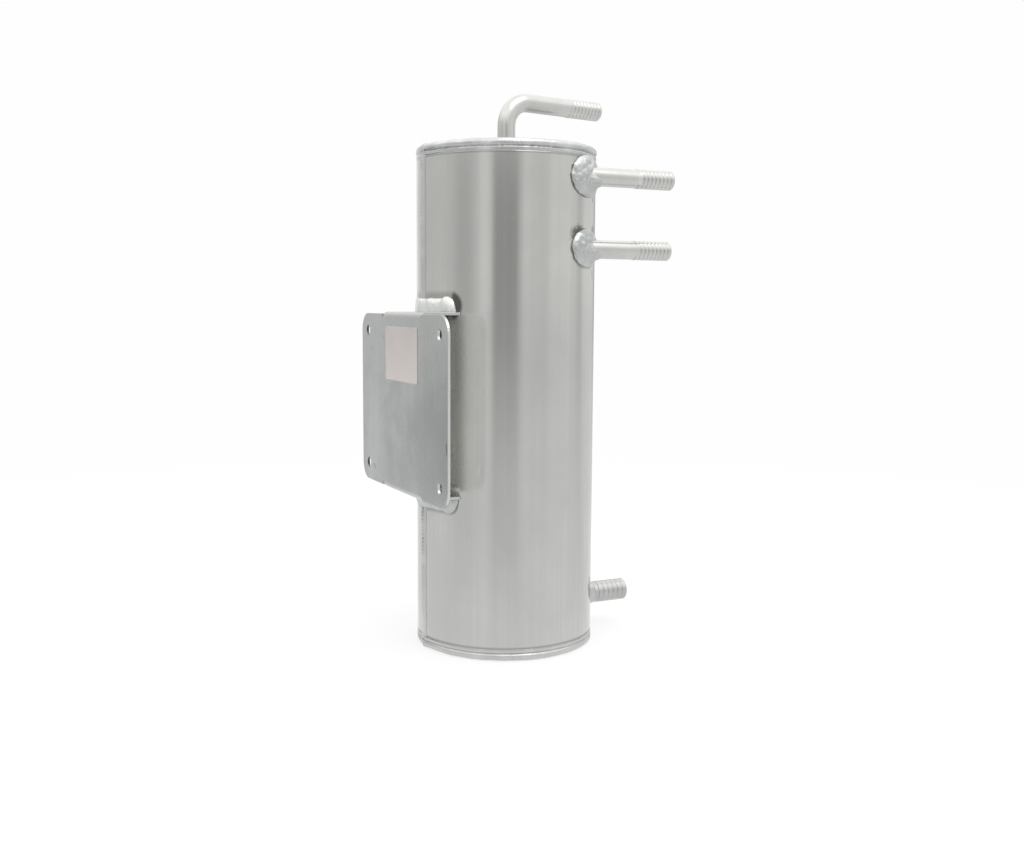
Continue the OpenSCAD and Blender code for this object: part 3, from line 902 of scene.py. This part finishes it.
# each mark on the plate: across and up from its centre, turn, half width, half height, strength
plateMarks = [
    (-65.4, -17.5, 0.1, 0.9, 3.8, 0.95),
    (46.0, -40.0, 1.2, 1.2, 3.0, 0.5),
    (20.0, -12.0, 0.15, 0.5, 5.0, 0.25),
    (-46.0, 6.0, -0.1, 0.7, 7.0, 0.2),
    (-52.0, 28.0, 0.2, 0.6, 4.5, 0.25),
    (30.0, 36.0, 0.9, 0.9, 2.2, 0.3),
]


def bracketTone(tree, coords, tone):
    for across, up, turn, width, height, strength in plateMarks:
        mark = useGroup(tree, markGroup, coords, Turn=(turn, 0, 0), Size=(3 * mm, width * mm, height * mm),
                        Place=(plateLow.x, across * mm, plateMiddle.z + up * mm))
        tone = tint(tree, mark.outputs["Mask"], strength, tone, bracketLook["markAndShadeTint"])
    # painted light: the faces turned to the shell are made much lighter, standing in for light bounced into
    # the gap
    tone = mixColour(tree, attributeValue(tree, "inside"), tone, bracketLook["inside"])
    # painted shade: the far holes' walls are darkened with the same tint as the marks
    tone = mixColour(tree, attributeValue(tree, "bore"), tone, bracketLook["markAndShadeTint"])
    return mixColour(tree, attributeValue(tree, "cutEdge"), tone, bracketLook["cutEdge"])


paperLook = {
    "colour": (0.56, 0.525, 0.505), "dark": (0.49, 0.455, 0.44), "fibre": (0.42, 0.39, 0.37),
    "foot": (0.66, 0.62, 0.59), "rough": 0.62, "fibreDepth": 1e-5,
}


def labelPaper():
    look = paperLook
    material, tree = newMaterial("labelPaper")
    coords = addNode(tree, "ShaderNodeTexCoord").outputs["Object"]
    smudge = useGroup(tree, smudgeGroup, coords, Size=70.0)
    fibre = noiseMask(tree, coords, 2600.0, 4.0)
    tone = mixColour(tree, spread(tree, smudge.outputs["Cloud"], 0.3, 0.7), look["dark"], look["colour"])
    tone = tint(tree, spread(tree, fibre, 0.4, 0.7), 0.15, tone, look["fibre"])
    split = addNode(tree, "ShaderNodeSeparateXYZ")
    tree.links.new(coords, split.inputs[0])
    low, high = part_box("blank_label")
    # painted light: the paper is made lighter towards its bottom edge
    tone = mixColour(tree, spread(tree, split.outputs["Z"], high.z, low.z, 0.0, 0.55), tone, look["foot"])
    bump = addNode(tree, "ShaderNodeBump")
    setInputs(bump, Strength=1.0, Distance=1.0)
    tree.links.new(calc(tree, "MULTIPLY", fibre, look["fibreDepth"]), bump.inputs["Height"])
    shader = addNode(tree, "ShaderNodeBsdfPrincipled")
    setInputs(shader, Roughness=look["rough"])
    tree.links.new(tone, shader.inputs["Base Color"])
    tree.links.new(bump.outputs["Normal"], shader.inputs["Normal"])
    output = addNode(tree, "ShaderNodeOutputMaterial")
    tree.links.new(shader.outputs[0], output.inputs["Surface"])
    return material


print("dressing the pieces")
dress(nodes["shell"], finishMetal("shellSheet", shellLook, shellTone))
plateMetal = finishMetal("plateSheet", plateLook)
pipeMetal = finishMetal("pipeTube", pipeLook)
weldMetal = finishMetal("weldBead", weldLook, weldTone)
lowRim = dict(weldLook, colour=(0.63, 0.635, 0.62), dark=(0.53, 0.535, 0.525))
rimMetal = finishMetal("rimBead", lowRim, weldTone)
# painted light: a much paler copy of the weld finish, used only on the top tab's bead
paintedLitBead = dict(weldLook, colour=(0.83, 0.835, 0.82), dark=(0.7, 0.71, 0.7))
paintedLitTabMetal = finishMetal("tabBead", paintedLitBead, weldTone)
for name in ("top_end_plate", "bottom_end_plate"):
    dress(nodes[name], plateMetal)
for name in ("vent_pipe", "upper_side_pipe", "lower_side_pipe"):
    dress(nodes[name], pipeMetal)
dullPipe = dict(pipeLook, colour=(0.55, 0.555, 0.54), dark=(0.47, 0.475, 0.46), rough=0.3)
dress(nodes["outlet_pipe"], finishMetal("dullPipeTube", dullPipe))
for bead in weldBeads:
    dress(bead, weldMetal)
for bead in (bottomRimBead, seamPiece):
    dress(bead, rimMetal)
shinyRim = dict(weldLook, colour=(0.67, 0.685, 0.68), dark=(0.51, 0.525, 0.525), rough=0.19)
dress(topRimBead, finishMetal("shinyRimBead", shinyRim, weldTone))
# the top tab's bead gets the paler copy, which is painted light
dress(weldBeads[-1], paintedLitTabMetal)
dress(bracketPiece, finishMetal("bracketSheet", bracketLook, bracketTone))
dress(labelPiece, labelPaper())


# studio: what the metal mirrors is a ring of soft walls under a bright ceiling, over a pale floor
studio = {
    "seen": 0.99,              # floor and backdrop as the camera sees them
    "floorRadius": 14.0,
    "floorTone": 0.96,         # the floor close by, as the metal mirrors it
    "floorFade": 1.1,          # distance at which the floor has half turned into the wall
    "horizonDip": 0.9,
    "ceiling": 1.4,
    "aboveWalls": 0.78,        # nothing dark stands higher than the vessel
    "shadow": 0.28,            # share of the seen floor that takes shadows
}
# the walls' tone by direction in degrees, counter-clockwise from +X
wallTones = [
    (0, 0.86), (6, 0.97), (18, 0.93), (30, 0.9), (44, 0.62), (50, 0.45), (62, 0.45), (68, 0.92), (88, 0.95),
    (104, 0.76), (114, 0.68), (124, 0.78), (157, 0.8), (171, 0.76), (180, 0.66), (189, 0.6), (196, 0.62),
    (206, 0.74), (216, 0.96), (223, 0.94), (228, 0.74), (231, 0.43), (258, 0.42), (263, 0.7), (268, 0.9),
    (279, 0.84), (295, 0.82), (306, 0.93), (333, 0.96), (347, 0.84), (354, 0.7),
]


def makeWallGroup():
    group, source, result = newGroup("studioWalls", [("Vector", "NodeSocketVector", None)], ["Tone"])
    split = addNode(group, "ShaderNodeSeparateXYZ")
    group.links.new(source.outputs["Vector"], split.inputs[0])
    turn = calc(group, "DIVIDE", calc(group, "ARCTAN2", split.outputs["Y"], split.outputs["X"]), math.tau)
    ramp = addNode(group, "ShaderNodeValToRGB")
    group.links.new(calc(group, "FRACT", turn), ramp.inputs[0])
    stops = ramp.color_ramp.elements
    stops.remove(stops[1])
    stops[0].position = 0
    stops[0].color = (wallTones[0][1],) * 3 + (1,)
    for degrees, tone in wallTones[1:]:
        stops.new(degrees / 360).color = (tone,) * 3 + (1,)
    stops.new(1).color = stops[0].color
    group.links.new(ramp.outputs["Color"], result.inputs["Tone"])
    return group


wallGroup = makeWallGroup()


def floorMaterial():
    material, tree = newMaterial("paleFloor")
    coords = addNode(tree, "ShaderNodeTexCoord").outputs["Object"]
    away = vectorCalc(tree, "LENGTH", coords)
    wall = calc(tree, "MULTIPLY", useGroup(tree, wallGroup, coords).outputs["Tone"], studio["horizonDip"])
    fade = calc(tree, "DIVIDE", away, calc(tree, "ADD", away, studio["floorFade"]))
    mirrored = addNode(tree, "ShaderNodeEmission")
    tree.links.new(spread(tree, fade, 0.0, 1.0, studio["floorTone"], wall), mirrored.inputs["Strength"])
    plain = addNode(tree, "ShaderNodeEmission")
    setInputs(plain, Strength=studio["seen"])
    shaded = addNode(tree, "ShaderNodeBsdfDiffuse")
    setInputs(shaded, Color=(0.9, 0.9, 0.9, 1))
    seen = addNode(tree, "ShaderNodeMixShader")
    share = spread(tree, away, 0.2, 0.9, studio["shadow"], 0.0, smooth=True)
    for socket, value in zip(seen.inputs, (share, plain.outputs[0], shaded.outputs[0])):
        tree.links.new(value, socket)
    path = addNode(tree, "ShaderNodeLightPath")
    blend = addNode(tree, "ShaderNodeMixShader")
    parts = (path.outputs["Is Camera Ray"], mirrored.outputs[0], seen.outputs[0])
    for socket, value in zip(blend.inputs, parts):
        tree.links.new(value, socket)
    output = addNode(tree, "ShaderNodeOutputMaterial")
    tree.links.new(blend.outputs[0], output.inputs["Surface"])
    return material


def makeFloor():
    bm = bmesh.new()
    bmesh.ops.create_circle(bm, cap_ends=True, segments=96, radius=studio["floorRadius"])
    mesh = bpy.data.meshes.new("paleFloor")
    bm.to_mesh(mesh)
    bm.free()
    floor = bpy.data.objects.new("paleFloor", mesh)
    scene.collection.objects.link(floor)
    dress(floor, floorMaterial())


def makeWorld():
    world = bpy.data.worlds.new("softRoom")
    world.use_nodes = True
    tree = world.node_tree
    tree.nodes.clear()
    seen = addNode(tree, "ShaderNodeBackground")
    setInputs(seen, Color=(1, 1, 1, 1), Strength=studio["seen"])
    direction = addNode(tree, "ShaderNodeTexCoord").outputs["Generated"]
    split = addNode(tree, "ShaderNodeSeparateXYZ")
    tree.links.new(direction, split.inputs[0])
    wall = useGroup(tree, wallGroup, direction).outputs["Tone"]
    clear = spread(tree, split.outputs["Z"], 0.12, 0.16, smooth=True)
    wall = spread(tree, clear, 0.0, 1.0, wall, calc(tree, "MAXIMUM", wall, studio["aboveWalls"]))
    lift = spread(tree, split.outputs["Z"], 0.2, 0.7, smooth=True)
    room = addNode(tree, "ShaderNodeBackground")
    setInputs(room, Color=(1, 1, 0.99, 1))
    tree.links.new(spread(tree, lift, 0.0, 1.0, wall, studio["ceiling"]), room.inputs["Strength"])
    path = addNode(tree, "ShaderNodeLightPath")
    blend = addNode(tree, "ShaderNodeMixShader")
    parts = (path.outputs["Is Camera Ray"], room.outputs[0], seen.outputs[0])
    for socket, value in zip(blend.inputs, parts):
        tree.links.new(value, socket)
    output = addNode(tree, "ShaderNodeOutputWorld")
    tree.links.new(blend.outputs[0], output.inputs["Surface"])
    scene.world = world


# one dark screen to the left, for the bracket to mirror
screen = {"corners": [(-0.245, 0.415, 0.0), (-0.28, 0.401, 0.15), (-0.56, 0.30, 0.16), (-0.56, 0.30, 0.0)],
          "tone": 0.2}


def makeScreen():
    bm = bmesh.new()
    bm.faces.new([bm.verts.new(corner) for corner in screen["corners"]])
    mesh = bpy.data.meshes.new("darkScreen")
    bm.to_mesh(mesh)
    bm.free()
    panel = bpy.data.objects.new("darkScreen", mesh)
    panel.visible_camera = False
    panel.visible_diffuse = False
    panel.visible_shadow = False
    scene.collection.objects.link(panel)
    material, tree = newMaterial("darkScreen")
    glow = addNode(tree, "ShaderNodeEmission")
    setInputs(glow, Strength=screen["tone"])
    output = addNode(tree, "ShaderNodeOutputMaterial")
    tree.links.new(glow.outputs[0], output.inputs["Surface"])
    dress(panel, material)


overhead = {"place": (0.15, -0.45, 1.2), "aim": (0, 0, 0.15), "size": 0.7, "power": 2.6}


def makeOverhead():
    light = bpy.data.lights.new("overhead", "AREA")
    light.shape = "SQUARE"
    light.size = overhead["size"]
    light.energy = overhead["power"]
    lamp = bpy.data.objects.new("overhead", light)
    lamp.location = overhead["place"]
    lamp.rotation_mode = "QUATERNION"
    towards = Vector(overhead["aim"]) - Vector(overhead["place"])
    lamp.rotation_quaternion = towards.to_track_quat("-Z", "Y")
    lamp.visible_camera = False
    scene.collection.objects.link(lamp)


camera = {
    "place": (-0.27901, -0.59575, 0.19179),
    "turn": -25.448, "tilt": 5.837, "roll": 0.307, "lens": 40.65,
}


def makeCamera():
    data = bpy.data.cameras.new("camera")
    data.sensor_width = 36
    data.lens = camera["lens"]
    data.clip_start, data.clip_end = 0.02, 60
    eye = bpy.data.objects.new("camera", data)
    eye.matrix_world = (Matrix.Translation(camera["place"])
                        @ Matrix.Rotation(math.radians(camera["turn"]), 4, "Z")
                        @ Matrix.Rotation(math.radians(90 - camera["tilt"]), 4, "X")
                        @ Matrix.Rotation(math.radians(camera["roll"]), 4, "Z"))
    scene.collection.objects.link(eye)
    scene.camera = eye


print("setting up the studio")
makeFloor()
makeWorld()
makeScreen()
makeOverhead()
makeCamera()
scene.view_settings.view_transform = "Standard"
